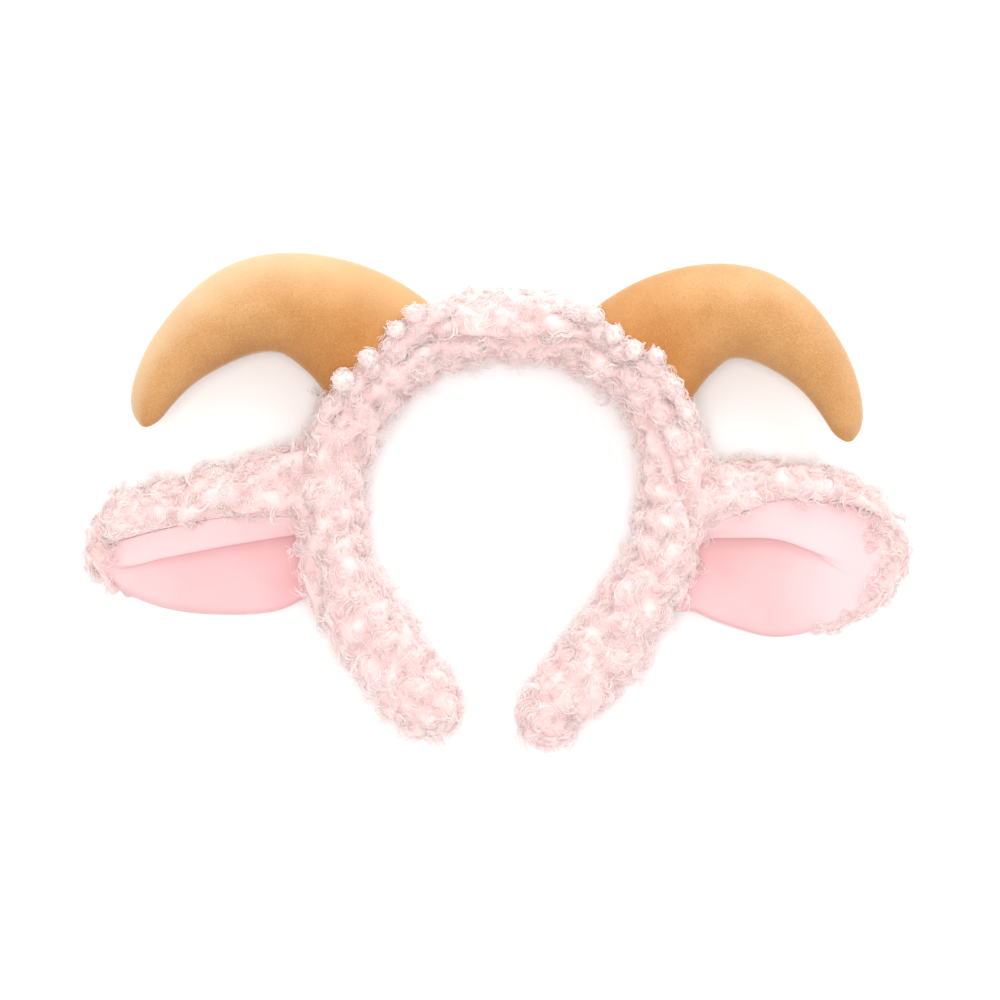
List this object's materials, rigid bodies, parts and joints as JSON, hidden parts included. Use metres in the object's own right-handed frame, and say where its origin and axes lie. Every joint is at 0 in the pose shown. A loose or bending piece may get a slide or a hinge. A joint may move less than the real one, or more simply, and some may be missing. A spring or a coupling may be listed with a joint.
{
  "type": "ram horns headband",
  "caption": "C-shaped padded headband in curly fleece with stuffed curved velour horns and lined, folded floppy ears at its sides.",
  "frame": {"origin": "middle of the headband's outline as it lies, on the surface that it lies on", "axes": "+X to the wearer's left, from ear tip to ear tip; +Y from the band's ends to its crown; +Z from the back edge that it lies on to the front"},
  "size_m": [0.3248, 0.1948, 0.0374],
  "materials": {
    "curly_fleece": "pale pink curly fleece, matt",
    "horn_velour": "tan short-nap velour",
    "ear_satin": "pink smooth soft cloth, slight sheen"
  },
  "bodies": {
    "root": {"band": "curly_fleece", "horn_left": "horn_velour", "horn_right": "horn_velour", "ear_back_left": "curly_fleece", "ear_back_right": "curly_fleece", "ear_lining_left": "ear_satin", "ear_lining_right": "ear_satin"}
  },
  "joints": []
}
